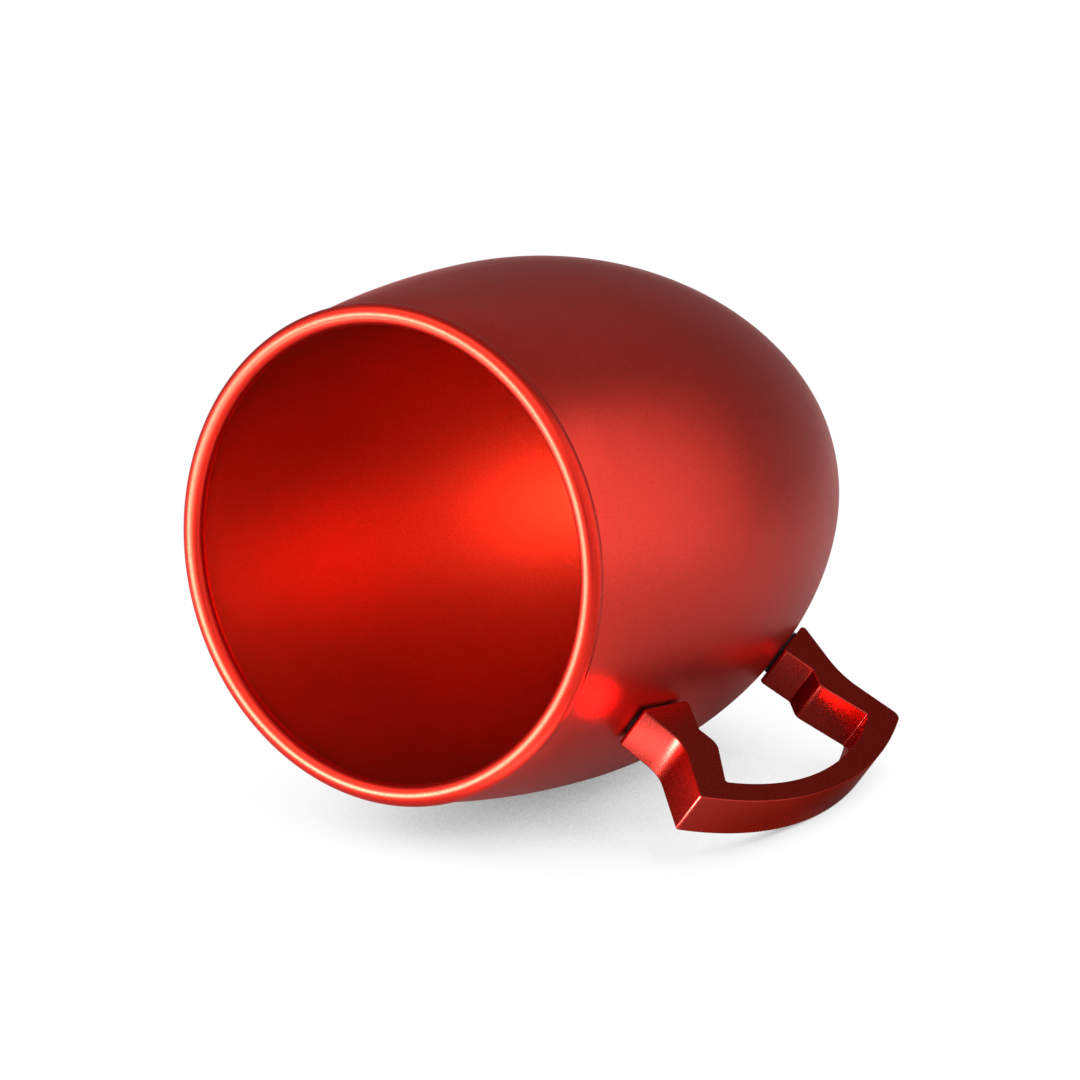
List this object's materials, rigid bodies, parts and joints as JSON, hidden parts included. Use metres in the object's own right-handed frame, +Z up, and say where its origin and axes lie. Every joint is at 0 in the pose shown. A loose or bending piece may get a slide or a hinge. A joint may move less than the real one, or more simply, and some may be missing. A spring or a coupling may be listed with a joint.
{
  "type": "barrel mug",
  "caption": "Barrel-shaped metal drinking mug with a rolled bead rim and a waisted bar handle screwed to the wall from inside.",
  "frame": {"origin": "centre of the flat base, where the mug stands", "axes": "+Z up the mug's axis to the mouth, +X from the axis towards the handle, +Y to the left of the handle"},
  "size_m": [0.1138, 0.089, 0.097],
  "materials": {
    "bowl_red": "satin red anodised",
    "handle_red": "satin red anodised, fine cutting marks",
    "screw_steel": "plain steel",
    "seal_black": "black rubber"
  },
  "bodies": {
    "root": {"mug_body": "bowl_red", "handle": "handle_red", "upper_screw": "screw_steel", "lower_screw": "screw_steel", "upper_washer": "seal_black", "lower_washer": "seal_black", "upper_gasket": "seal_black", "lower_gasket": "seal_black"}
  },
  "joints": []
}
